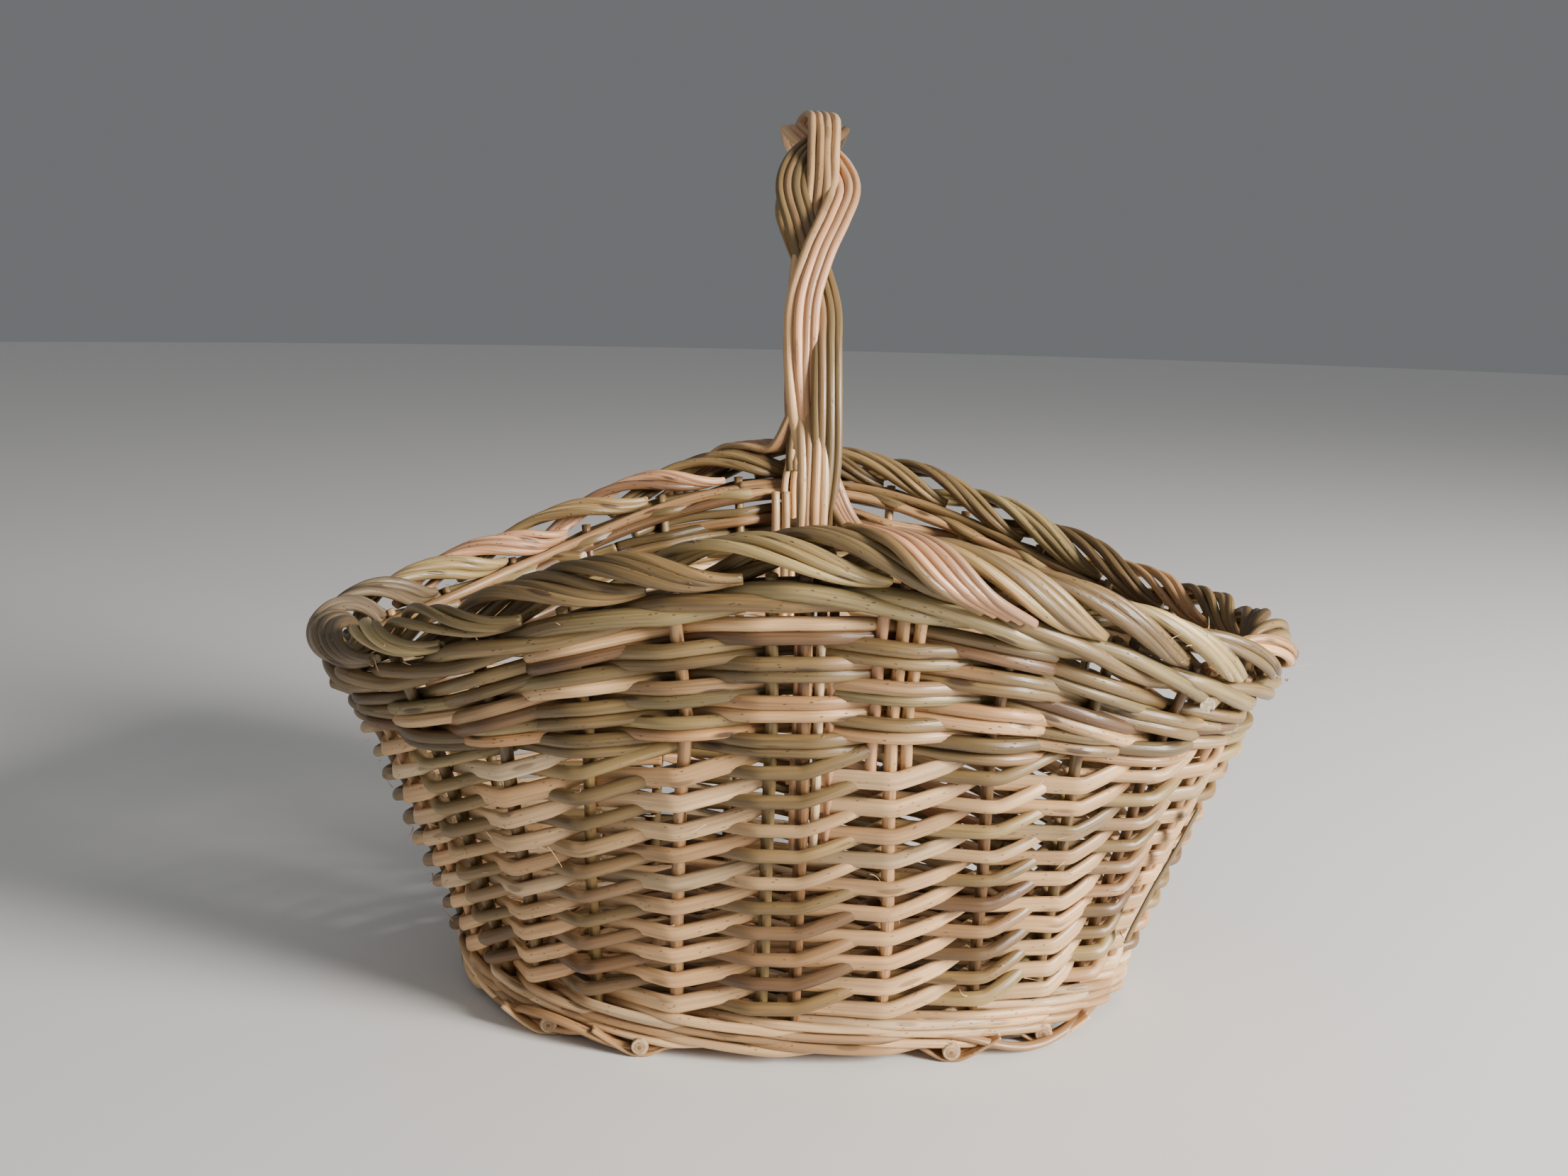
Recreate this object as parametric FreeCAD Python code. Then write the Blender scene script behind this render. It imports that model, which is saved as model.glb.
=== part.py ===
"""Oval willow basket with an arched rim and a fixed plaited handle.

Millimetres. +X runs along the length, +Z up. The origin is on the floor, at the middle of the base.
Every woven rod is made in lengths that follow its weave, and each length is a solid of its own.
"""
import FreeCAD, Part
import math
import os

Vector = FreeCAD.Vector

# Outline of the basket. Half sizes are to the middle of the wall or of the border.
RIM_HALF_LENGTH = 190.0
RIM_HALF_WIDTH = 125.0
RIM_Z_AT_ENDS = 152.0
RIM_Z_AT_HANDLE = 205.0
RIM_ARCH_POWER = 3.4
BASE_HALF_LENGTH = 138.0
BASE_HALF_WIDTH = 74.0
BASE_Z = 12.0
FLARE_POWER = 1.15

# Stakes, the upright rods that the weave is worked on.
STAKE_COUNT = 28
STAKE_RADIUS = 2.8
STAKE_FOOT_Z = 8.0
STAKE_FOOT_REACH = 6.0
END_STAKE_SPREAD = 0.05
STAKE_SHIFT = -0.038
FOOT_SPREAD = 0.144
FOOT_SPREAD_NEAR_HANDLE = 0.048
FOOT_SPREAD_TOP = 0.72
HANDLE_STAKE = 0
BACK_HANDLE_STAKE = STAKE_COUNT // 2
HANDLE_PAIR_GAP = 0.22

# Base: sticks, the mat woven round them and the split skeins that bind the stick ends.
STICK_RADIUS = 3.5
STICK_Z = 6.5
STICK_OVERHANG = 6.0
CROSS_STICK_X = (-98.0, -60.0, -21.0, 21.0, 60.0, 98.0)
LONG_STICK_Y = (-9.0, 0.0, 9.0)
LONG_STICK_WIDTH = 6.0
LONG_STICK_HEIGHT = 3.4
MAT_ROD_RADIUS = 1.5
MAT_ROUNDS = 13
MAT_INNER_ROUNDS = 6
MAT_FIRST_HALF_WIDTH = 15.0
MAT_EDGE_GAP = 3.5
SKEIN_WIDTH = 5.0
SKEIN_THICKNESS = 1.4
SKEIN_FOOT_LENGTH = 7.0
BOUND_STICKS = (0, 1, 4, 5)

# Upsett: three rows of thin rods, each in front of two stakes and behind one.
UPSETT_ROWS = 3
UPSETT_ROD_RADIUS = 1.7
UPSETT_FIRST_Z = 6.5
UPSETT_PITCH = 4.3
WALE_RISE = 0.9

# Siding: randed rounds. Odd stakes carry flat split rods, even stakes carry round rods half a
# round higher.
SIDING_ROUNDS = 10
SIDING_FIRST_Z = 24.5
SIDING_PITCH = 11.4
SIDING_END_SQUEEZE = 0.13
SIDING_ROD_RADIUS = 2.6
SPLIT_HEIGHT = 5.4
SPLIT_THICKNESS = 2.0
BUTT_GAP = 0.012

# Slewing: pairs of rods above the siding. Some rows are packing and stop short of the ends.
SLEW_ROWS = 7
SLEW_ROD_RADIUS = 2.5
SLEW_TOP_CLEARANCE = 19.0
PACKING_REACH = {1: 3.6, 2: 3.6, 3: 5.2, 4: 5.2, 6: 2.6}
PACKING_FADE = 1.5
PACKING_LEFT = 0.1

# Top wale: one row of stout rods under the border, each in front of two stakes.
TOP_WALE_DROP = 12.5
TOP_WALE_ROD_RADIUS = 2.9

# Rolled border: each stake ends in a ribbon of rods that rolls over the rim.
BORDER_RIBBON_RODS = 3
BORDER_ROD_RADIUS = 2.6
BORDER_ROLL_RADIUS = 7.0
BORDER_ROD_TURN = 36.0
BORDER_START = -0.7
BORDER_SPAN = 2.5
BORDER_FIRST_ANGLE = 200.0
BORDER_LAST_ANGLE = -60.0
BORDER_STEPS = 9

# Handle: a plait of three flat strands, fixed in the wall at both ends.
HANDLE_TOP_Z = 352.0
HANDLE_INSET = 10.0
PLAIT_STRANDS = 3
STRAND_RODS = 4
STRAND_ROD_RADIUS = 1.7
STRAND_ROD_GAP = 2.9
PLAIT_PERIODS = 2.25
PLAIT_FIRST_TURN = 140.0
PLAIT_HALF_WIDTH = 5.0
PLAIT_TOP_BULGE = 3.0
PLAIT_HALF_DEPTH = 3.2
PLAIT_LENGTHS = 13
PLAIT_STEPS_PER_LENGTH = 4
LEG_ROD_RADIUS = 1.7
LEG_ROD_X = (-4.6, -1.0, 2.8, 6.8)
LEG_ROD_FOOT_Z = 92.0
TAIL_RODS = 4
TAIL_ROD_RADIUS = 1.7
TAIL_LEAVES_AT = 0.16
TAIL_START_ASIDE = 8.0
TAIL_START_GAP = 2.7
TAIL_ROD_SHIFT = 0.12
TAIL_ENDS = (0.82, 0.96)
TAIL_END_FOOT_Z = 125.0

UP = Vector(0, 0, 1)


def save(name, solids):
    """Writes one node, made of one or more separate solids."""
    shape = solids[0] if len(solids) == 1 else Part.makeCompound(solids)
    bad = [i for i, s in enumerate(solids) if not s.isValid() or s.Volume <= 0]
    if bad:
        print("CHECK", name, "solids", bad)
    shape.exportStep("parts/" + name + ".step")


# ---- the wall, as a surface over stake number and height ----


def stake_angle(place):
    """Angle round the oval of a place counted in stakes from the front of the handle."""
    turn = math.radians(-90.0 + 360.0 * place / STAKE_COUNT)
    return turn + END_STAKE_SPREAD * math.sin(2.0 * turn) + STAKE_SHIFT


def rim_height(angle):
    arch = abs(math.sin(angle)) ** RIM_ARCH_POWER
    return RIM_Z_AT_ENDS + (RIM_Z_AT_HANDLE - RIM_Z_AT_ENDS) * arch


def foot_spread(angle, climb):
    """Turn that leads a stake's lower part away from the handle. It dies away up the wall."""
    from_handle = 2.0 * (angle + math.pi / 2.0)
    spread = FOOT_SPREAD * math.sin(from_handle) + FOOT_SPREAD_NEAR_HANDLE * math.sin(2.0 * from_handle)
    return spread * max(0.0, 1.0 - climb / FOOT_SPREAD_TOP)


def wall_point(place, z, out=0.0):
    """A point on the wall's middle surface at a height, moved outwards by out."""
    angle = stake_angle(place)
    climb = max(z - BASE_Z, 0.0) / (rim_height(angle) - BASE_Z)
    angle += foot_spread(angle, climb)
    flare = climb ** FLARE_POWER
    half_length = BASE_HALF_LENGTH + (RIM_HALF_LENGTH - BASE_HALF_LENGTH) * flare + out
    half_width = BASE_HALF_WIDTH + (RIM_HALF_WIDTH - BASE_HALF_WIDTH) * flare + out
    return Vector(half_length * math.cos(angle), half_width * math.sin(angle), z)


def outward(place):
    """The level outward direction of the wall at a place."""
    angle = stake_angle(place)
    across = Vector(math.cos(angle) * RIM_HALF_WIDTH, math.sin(angle) * RIM_HALF_LENGTH, 0)
    return across.normalize()


def is_handle_stake(stake):
    return stake % STAKE_COUNT in (HANDLE_STAKE, BACK_HANDLE_STAKE)


# ---- rods ----


def rounded_path(points, reach=0.45):
    """Straight runs between the points, with a tangent arc at each corner."""
    kept = [points[0]]
    for before, here, after in zip(points, points[1:], points[2:]):
        if (here - before).getAngle(after - here) > 0.002:
            kept.append(here)
    kept.append(points[-1])
    edges = []
    start = kept[0]
    for before, here, after in zip(kept, kept[1:], kept[2:]):
        arriving = (here - before).normalize()
        leaving = (after - here).normalize()
        run = reach * min((here - before).Length, (after - here).Length)
        half_turn = arriving.getAngle(leaving) / 2.0
        radius = run / math.tan(half_turn)
        inward = (leaving - arriving).normalize()
        middle = here + inward * (math.hypot(radius, run) - radius)
        first = here - arriving * run
        last = here + leaving * run
        if (first - start).Length > 0.01:
            edges.append(Part.LineSegment(start, first).toShape())
        edges.append(Part.Arc(first, middle, last).toShape())
        start = last
    edges.append(Part.LineSegment(start, kept[-1]).toShape())
    return Part.Wire(edges)


def rod(points, radius):
    """A round rod that follows the points."""
    along = (points[1] - points[0]).normalize()
    section = Part.Wire(Part.makeCircle(radius, points[0], along))
    return rounded_path(points).makePipeShell([section], True, True)


def strip(points, height_way, thickness_way):
    """A flat rod with sharp folds: its section is the same parallelogram all along."""
    half_height = height_way * 0.5
    half_thickness = thickness_way * 0.5
    corners = [
        half_height + half_thickness,
        half_height - half_thickness,
        -half_height - half_thickness,
        -half_height + half_thickness,
    ]
    rings = [[p + c for c in corners] for p in points]
    outlines = [rings[0], rings[-1][::-1]]
    for near, far in zip(rings, rings[1:]):
        for i in range(4):
            j = (i + 1) % 4
            outlines.append([near[i], near[j], far[j], far[i]])
    faces = [Part.Face(Part.makePolygon(o + [o[0]])) for o in outlines]
    solid = Part.makeSolid(Part.makeShell(faces))
    if solid.Volume < 0:
        solid.reverse()
    return solid


# ---- base ----


def cross_stick_half(x):
    """Half length of a cross stick, from the base's oval and the cut end's overhang."""
    return BASE_HALF_WIDTH * math.sqrt(1.0 - (x / BASE_HALF_LENGTH) ** 2) + STICK_OVERHANG


def make_cross_stick(x):
    """A round stick, slit where the long sticks are threaded through it."""
    half = cross_stick_half(x)
    stick = Part.makeCylinder(STICK_RADIUS, 2 * half, Vector(x, -half, STICK_Z), Vector(0, 1, 0))
    for y in LONG_STICK_Y:
        width = LONG_STICK_WIDTH + 0.4
        height = LONG_STICK_HEIGHT + 0.2
        corner = Vector(x - 10, y - width / 2, STICK_Z - height / 2)
        stick = stick.cut(Part.makeBox(20, width, height, corner))
    return stick


def make_long_stick(y):
    """A shaved stick with rounded edges that runs the length of the base."""
    half = BASE_HALF_LENGTH * math.sqrt(1.0 - (y / BASE_HALF_WIDTH) ** 2) - 2.0
    corner = Vector(-half, y - LONG_STICK_WIDTH / 2, STICK_Z - LONG_STICK_HEIGHT / 2)
    stick = Part.makeBox(2 * half, LONG_STICK_WIDTH, LONG_STICK_HEIGHT, corner)
    long_edges = [e for e in stick.Edges if e.Length > half]
    return stick.makeFillet(0.8, long_edges)


def mat_round(number):
    """One oval round of the base mat, woven over and under the cross sticks."""
    spread = number / (MAT_ROUNDS - 1.0)
    half_width = MAT_FIRST_HALF_WIDTH + spread * (BASE_HALF_WIDTH - MAT_EDGE_GAP - MAT_FIRST_HALF_WIDTH)
    end_radius = half_width
    inset = BASE_HALF_LENGTH - BASE_HALF_WIDTH
    lift = STICK_RADIUS + MAT_ROD_RADIUS
    half_turn = []
    side = 1 if number % 2 else -1
    for x in CROSS_STICK_X:
        if abs(x) <= inset + end_radius * 0.5:
            reach = max(abs(x) - inset, 0.0)
            y = math.sqrt(end_radius ** 2 - reach ** 2)
            half_turn.append(Vector(x, -y, STICK_Z + side * lift))
            side = -side
    for degrees in (-60, -22, 22, 60):
        turn = math.radians(degrees)
        x = inset + end_radius * math.cos(turn)
        half_turn.append(Vector(x, end_radius * math.sin(turn), STICK_Z + side * lift))
        side = -side
    points = half_turn + [Vector(-p.x, -p.y, p.z) for p in half_turn]
    first = (points[0] + points[-1]) * 0.5
    quarter = len(points) // 2
    middle = (points[quarter - 1] + points[quarter]) * 0.5
    return [
        rod([first] + points[:quarter] + [middle], MAT_ROD_RADIUS),
        rod([middle] + points[quarter:] + [first], MAT_ROD_RADIUS),
    ]


def make_skein_foot(x, side):
    """A split skein looped under a cross stick's cut end. Its flat underside meets the floor."""
    y = side * (cross_stick_half(x) - SKEIN_WIDTH / 2 - 1.0)
    foot = SKEIN_FOOT_LENGTH / 2
    rise = STICK_RADIUS + 4.0
    centre = SKEIN_THICKNESS / 2
    points = [
        Vector(x - foot - rise, y, STICK_Z + STICK_RADIUS),
        Vector(x - foot, y, centre),
        Vector(x + foot, y, centre),
        Vector(x + foot + rise, y, STICK_Z + STICK_RADIUS),
    ]
    across = Vector(0, SKEIN_WIDTH, 0)
    outer = [p + UP * (-centre) for p in points]
    inner = [p + UP * centre for p in points]
    outline = outer + inner[::-1]
    face = Part.Face(Part.makePolygon([p - across * 0.5 for p in outline + outline[:1]]))
    return face.extrude(across)


# ---- wall ----


def stake_places(stake):
    """A stake by the handle is a pair of rods, any other is one rod."""
    if is_handle_stake(stake):
        return (stake - HANDLE_PAIR_GAP, stake + HANDLE_PAIR_GAP)
    return (stake,)


def make_stake(place):
    """A stake turned up at the base's edge and running up the wall into the border."""
    top = rim_height(stake_angle(place))
    foot = wall_point(place, STAKE_FOOT_Z)
    heel = foot - outward(place) * STAKE_FOOT_REACH
    climb = [wall_point(place, BASE_Z + (top - BASE_Z) * part) for part in (0.25, 0.5, 0.75, 1.0)]
    return rod([heel, foot] + climb, STAKE_RADIUS)


def wale_stroke(stake, radius, height):
    """A length of waling rod: out past one stake, in front of two, then behind the next.

    It lies on top of the length before it, and under the one that follows.
    """
    out = STAKE_RADIUS + radius
    places = (stake - 0.45, stake, stake + 1.0, stake + 1.45, stake + 2.0)
    outs = (-out * 0.3, out, out, 0.0, -out)
    rises = (0.4, WALE_RISE, -WALE_RISE, -0.6, 0.0)
    points = [wall_point(u, height(u) + rise * radius, o) for u, o, rise in zip(places, outs, rises)]
    return rod(points, radius)


def upsett_stroke(row, stake):
    z = UPSETT_FIRST_Z + row * UPSETT_PITCH
    return wale_stroke(stake, UPSETT_ROD_RADIUS, lambda place: z)


def top_wale_stroke(stake):
    return wale_stroke(
        stake, TOP_WALE_ROD_RADIUS, lambda place: rim_height(stake_angle(place)) - TOP_WALE_DROP
    )


def siding_height(level, place):
    """Height of a round at a place: the rounds lie a little closer together at the two ends."""
    side = abs(math.sin(stake_angle(place))) ** RIM_ARCH_POWER
    pitch = SIDING_PITCH * (1.0 - SIDING_END_SQUEEZE * (1.0 - side))
    return SIDING_FIRST_Z + level * pitch


def siding_stroke(level, stake):
    """A length of randing rod: from behind one stake, in front of the next, behind the third."""
    before, after = stake - 1 + BUTT_GAP, stake + 1 - BUTT_GAP
    if stake % 2:
        out = STAKE_RADIUS + SPLIT_THICKNESS / 2
        z = siding_height(level, stake)
        points = [
            wall_point(before, siding_height(level, before), -out),
            wall_point(stake, z, out),
            wall_point(after, siding_height(level + 1, after), -out),
        ]
        climb = wall_point(stake, z + 1.0) - wall_point(stake, z - 1.0)
        return strip(points, climb.normalize() * SPLIT_HEIGHT, outward(stake) * SPLIT_THICKNESS)
    out = STAKE_RADIUS + SIDING_ROD_RADIUS
    hold = HANDLE_PAIR_GAP + 0.05 if is_handle_stake(stake) else 0.08
    level += 0.5
    points = [
        wall_point(before, siding_height(level, before), -out),
        wall_point(stake - hold, siding_height(level, stake - hold), out),
        wall_point(stake + hold, siding_height(level, stake + hold) + 0.6, out),
        wall_point(after, siding_height(level + 1, after), -out),
    ]
    return rod(points, SIDING_ROD_RADIUS)


def packing_weight(row, place):
    """How much of a full row's height a row takes: packing rows die away from the handle."""
    if row not in PACKING_REACH:
        return 1.0
    half = STAKE_COUNT / 2.0
    away = abs((place + half / 2.0) % half - half / 2.0)
    fade = (PACKING_REACH[row] - away) / PACKING_FADE
    return max(PACKING_LEFT, min(1.0, fade))


def slew_height(row, place):
    """Height of a row's middle: rows share the space between the siding and the top wale."""
    foot = siding_height(SIDING_ROUNDS - 0.2, place)
    top = rim_height(stake_angle(place)) - SLEW_TOP_CLEARANCE
    weights = [packing_weight(i, place) for i in range(SLEW_ROWS)]
    below = sum(weights[:row]) + weights[row] / 2.0
    return foot + (top - foot) * below / sum(weights)


def slew_strokes(row, stake):
    """Two rods side by side, in front of one stake and behind its neighbours."""
    out = STAKE_RADIUS + SLEW_ROD_RADIUS
    hold = HANDLE_PAIR_GAP + 0.05 if is_handle_stake(stake) else 0.1
    places = (stake - 1 + BUTT_GAP, stake - hold, stake + hold, stake + 1 - BUTT_GAP)
    outs = (-out, out, out, -out)
    pair = []
    for side in (-1, 1):
        shift = side * SLEW_ROD_RADIUS
        points = [wall_point(u, slew_height(row, u) + shift, o) for u, o in zip(places, outs)]
        pair.append(rod(points, SLEW_ROD_RADIUS))
    return pair


def slew_row(row):
    """A full row goes round the basket, a packing row lies on the two sides only."""
    solids = []
    for stake in range(STAKE_COUNT):
        worked = stake % 2 == row % 2
        if worked and packing_weight(row, stake) > PACKING_LEFT:
            solids += slew_strokes(row, stake)
    return solids


# ---- border ----


def border_point(place, roll):
    """A point on the rolled border. Roll is 90 degrees on top and 0 on the outside."""
    middle = wall_point(place, rim_height(stake_angle(place)))
    turn = math.radians(roll)
    aside = outward(place) * math.cos(turn) + UP * math.sin(turn)
    return middle + aside * BORDER_ROLL_RADIUS


def border_ribbon(stake):
    """The rods of one ribbon, side by side, from inside the rim over the top to the outside."""
    solids = []
    for number in range(BORDER_RIBBON_RODS):
        beside = (number - (BORDER_RIBBON_RODS - 1) / 2.0) * BORDER_ROD_TURN
        points = []
        for step in range(BORDER_STEPS):
            part = step / (BORDER_STEPS - 1.0)
            roll = BORDER_FIRST_ANGLE + (BORDER_LAST_ANGLE - BORDER_FIRST_ANGLE) * part
            place = stake + BORDER_START + BORDER_SPAN * part
            points.append(border_point(place, roll + beside))
        solids.append(rod(points, BORDER_ROD_RADIUS))
    return solids


# ---- handle ----


def arch_point(turn):
    """A point on the handle's middle line, from 0 at the front of the rim to pi at the back."""
    half_width = RIM_HALF_WIDTH - HANDLE_INSET
    rise = HANDLE_TOP_Z - RIM_Z_AT_HANDLE
    return Vector(0, -half_width * math.cos(turn), RIM_Z_AT_HANDLE + rise * math.sin(turn))


def plait_point(strand, beside, part):
    """A point on a strand of the plait: it swings from side to side, over and under."""
    turn = math.pi * part
    here = arch_point(turn)
    ahead = (arch_point(turn + 0.01) - arch_point(turn - 0.01)).normalize()
    across = Vector(1, 0, 0)
    face = across.cross(ahead)
    swing = math.radians(PLAIT_FIRST_TURN + 360.0 * strand / PLAIT_STRANDS)
    swing -= 2.0 * math.pi * PLAIT_PERIODS * part
    half_width = PLAIT_HALF_WIDTH + PLAIT_TOP_BULGE * math.sin(turn)
    aside = across * (half_width * math.sin(swing) + beside)
    return here + aside + face * (PLAIT_HALF_DEPTH * math.sin(2.0 * swing))


def make_strand(strand):
    """The rods of one strand, each in lengths that end under another strand."""
    solids = []
    steps = PLAIT_LENGTHS * PLAIT_STEPS_PER_LENGTH
    for number in range(STRAND_RODS):
        beside = (number - (STRAND_RODS - 1) / 2.0) * STRAND_ROD_GAP
        line = [plait_point(strand, beside, i / float(steps)) for i in range(steps + 1)]
        for first in range(0, steps, PLAIT_STEPS_PER_LENGTH):
            length = line[first : first + PLAIT_STEPS_PER_LENGTH + 1]
            solids.append(rod(length, STRAND_ROD_RADIUS))
    return solids


def make_leg_rod(side, x):
    """A light rod that goes on from the plait's foot, straight down inside the wall."""
    stake = HANDLE_STAKE if side < 0 else BACK_HANDLE_STAKE
    inset = HANDLE_INSET + LEG_ROD_RADIUS
    heights = (LEG_ROD_FOOT_Z, (LEG_ROD_FOOT_Z + RIM_Z_AT_HANDLE) / 2.0, RIM_Z_AT_HANDLE)
    return rod([wall_point(stake, z, -inset) + Vector(x, 0, 0) for z in heights], LEG_ROD_RADIUS)


def make_tail(side):
    """Rods that leave the plait just above the rim and go over the border to the outside.

    Two more rods of the same strand are pushed down inside the wall by the next stake.
    """
    solids = []
    base_place = HANDLE_STAKE if side < 0 else BACK_HANDLE_STAKE
    turn = TAIL_LEAVES_AT if side < 0 else math.pi - TAIL_LEAVES_AT
    for number in range(TAIL_RODS):
        shift = number * TAIL_ROD_SHIFT
        inward = side * TAIL_START_GAP * (number - (TAIL_RODS - 1) / 2.0)
        start = arch_point(turn) + Vector(-side * TAIL_START_ASIDE, inward, 0)
        over = border_point(base_place + 0.9 + shift, 100.0) + UP * BORDER_ROD_RADIUS * 2
        down = border_point(base_place + 1.45 + shift, 20.0) + outward(base_place) * 4.0
        last = border_point(base_place + 1.9 + shift, -40.0) + outward(base_place) * 2.0
        solids.append(rod([start, over, down, last], TAIL_ROD_RADIUS))
    for end in TAIL_ENDS:
        top = rim_height(stake_angle(base_place + end)) - BORDER_ROLL_RADIUS
        inset = STAKE_RADIUS + 2 * SLEW_ROD_RADIUS + TAIL_ROD_RADIUS
        middle = (top + TAIL_END_FOOT_Z) / 2.0
        heights = (top, middle, TAIL_END_FOOT_Z)
        points = [wall_point(base_place + end, z, -inset) for z in heights]
        solids.append(rod(points, TAIL_ROD_RADIUS))
    return solids


def make_loose_skein():
    """A flat skein lying slantwise on the outside of the wall near one end."""
    out = STAKE_RADIUS + 2.0 * SIDING_ROD_RADIUS + SPLIT_THICKNESS
    points = [wall_point(u, z, out) for u, z in ((4.9, 100.0), (4.7, 72.0), (4.4, 40.0))]
    tall = (points[0] - points[2]).normalize().cross(outward(4.7)) * 4.0
    return strip(points, tall, outward(4.7) * 0.8)


def main():
    os.makedirs("parts", exist_ok=True)
    for number, y in enumerate(LONG_STICK_Y, 1):
        save("base_long_stick_%d" % number, [make_long_stick(y)])
    for number, x in enumerate(CROSS_STICK_X, 1):
        save("base_cross_stick_%d" % number, [make_cross_stick(x)])
    rounds = [mat_round(i) for i in range(MAT_ROUNDS)]
    save("base_mat_inner", sum(rounds[:MAT_INNER_ROUNDS], []))
    save("base_mat_outer", sum(rounds[MAT_INNER_ROUNDS:], []))
    for name, side in (("front", -1), ("back", 1)):
        feet = [make_skein_foot(CROSS_STICK_X[i], side) for i in BOUND_STICKS]
        save("base_skeins_" + name, feet)

    quarter = STAKE_COUNT // 4
    sides = {"front": [], "right_end": [], "back": [], "left_end": []}
    names = list(sides)
    for stake in range(STAKE_COUNT):
        sides[names[((stake + quarter // 2) // quarter) % 4]].append(stake)
    for name, stakes in sides.items():
        places = [place for stake in stakes for place in stake_places(stake)]
        save("stakes_" + name, [make_stake(place) for place in places])
        save("border_" + name, sum([border_ribbon(stake) for stake in stakes], []))

    for row in range(UPSETT_ROWS):
        strokes = [upsett_stroke(row, stake) for stake in range(STAKE_COUNT)]
        save("upsett_row_%d" % (row + 1), strokes)
    for level in range(SIDING_ROUNDS):
        strokes = [siding_stroke(level, stake) for stake in range(STAKE_COUNT)]
        save("siding_round_%02d" % (level + 1), strokes)
    for row in range(SLEW_ROWS):
        save("slew_row_%d" % (row + 1), slew_row(row))
    save("top_wale_row", [top_wale_stroke(stake) for stake in range(STAKE_COUNT)])

    for strand in range(PLAIT_STRANDS):
        save("handle_strand_%d" % (strand + 1), make_strand(strand))
    for name, side in (("front", -1), ("back", 1)):
        save("handle_leg_rods_" + name, [make_leg_rod(side, x) for x in LEG_ROD_X])
        save("handle_tail_" + name, make_tail(side))
    save("loose_skein", [make_loose_skein()])


main()
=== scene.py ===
"""Looks of the willow handle basket: every rod of the weave, border, handle and base.

Lengths are in millimetres while a rod's path is worked out, and in metres in the finished meshes.
A place is counted in stakes round the oval, from the front of the handle towards +X.
"""
import math

import bpy
import numpy as np
from mathutils import Matrix, Vector


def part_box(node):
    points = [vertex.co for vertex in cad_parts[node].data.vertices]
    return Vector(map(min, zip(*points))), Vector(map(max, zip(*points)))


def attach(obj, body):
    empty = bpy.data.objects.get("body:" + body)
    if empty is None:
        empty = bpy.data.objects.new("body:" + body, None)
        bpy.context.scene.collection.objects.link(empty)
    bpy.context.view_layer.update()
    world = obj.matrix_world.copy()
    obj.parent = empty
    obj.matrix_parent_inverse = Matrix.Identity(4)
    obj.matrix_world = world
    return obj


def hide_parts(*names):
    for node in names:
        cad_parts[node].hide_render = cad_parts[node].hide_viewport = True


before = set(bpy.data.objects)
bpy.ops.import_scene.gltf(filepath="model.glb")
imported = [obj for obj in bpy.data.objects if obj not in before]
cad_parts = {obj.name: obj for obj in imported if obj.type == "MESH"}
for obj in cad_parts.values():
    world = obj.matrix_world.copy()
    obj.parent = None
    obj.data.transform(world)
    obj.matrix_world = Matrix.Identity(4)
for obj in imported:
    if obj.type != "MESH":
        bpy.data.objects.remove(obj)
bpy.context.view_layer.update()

MM = 0.001
STEPS = 20  # samples from one stake to the next
GRAIN_REACH = 9000.0  # each rod's grain starts somewhere in this many millimetres of it
UP = np.array([0.0, 0.0, 1.0])
rng = np.random.default_rng(28)

# ---------------------------------------------------------------- driving sizes

# Half sizes to the middle of the border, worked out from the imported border's boxes.
BORDER_HALF_HEIGHT = 9.2
RIM_HALF_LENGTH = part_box("border_right_end")[1].x / MM - BORDER_HALF_HEIGHT
RIM_HALF_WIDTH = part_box("border_back")[1].y / MM - BORDER_HALF_HEIGHT
RIM_Z_AT_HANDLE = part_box("border_back")[1].z / MM - BORDER_HALF_HEIGHT
RIM_Z_AT_ENDS = 152.0
RIM_ARCH_POWER = 3.4
BASE_HALF_LENGTH = 138.0
BASE_HALF_WIDTH = 74.0
BASE_Z = 12.0
FLARE_POWER = 1.15

STAKE_COUNT = 28
STAKE_RADIUS = 2.8  # what the weave is laid round
VISIBLE_STAKE_RADIUS = 2.35
END_STAKE_SPREAD = 0.05
STAKE_SHIFT = -0.038  # radians: all stakes stand a little to the left of the handle's line
STAKE_SAMPLES = 60
# The stakes lean: their feet stand further from the handle than their tops, in radians.
FOOT_SPREAD = 0.144
FOOT_SPREAD_NEAR_HANDLE = 0.048
FOOT_SPREAD_TOP = 0.72
FRONT, BACK = 0, STAKE_COUNT // 2
HANDLE_PAIR_GAP = 0.15  # half the distance between the two stakes of a pair, in stakes

STICK_RADIUS = 3.5
STICK_Z = 6.5
STICK_OVERHANG = 6.0
CROSS_STICK_X = (-98.0, -60.0, -21.0, 21.0, 60.0, 98.0)
LONG_STICK_Y = (-9.0, 0.0, 9.0)
BOUND_STICKS = (0, 1, 4, 5)  # the cross sticks whose ends are looped with skeins
BOUND_END_Z = 4.9
STICK_SAMPLES = 60
MAT_ROUNDS = 13
MAT_INNER_ROUNDS = 6
MAT_FIRST_HALF_WIDTH = 15.0
MAT_SAMPLES = 300

UPSETT_ROWS = 3
UPSETT_FIRST_Z = 8.0
UPSETT_PITCH = 4.3
UPSETT_ROD_RADIUS = 1.9

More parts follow.
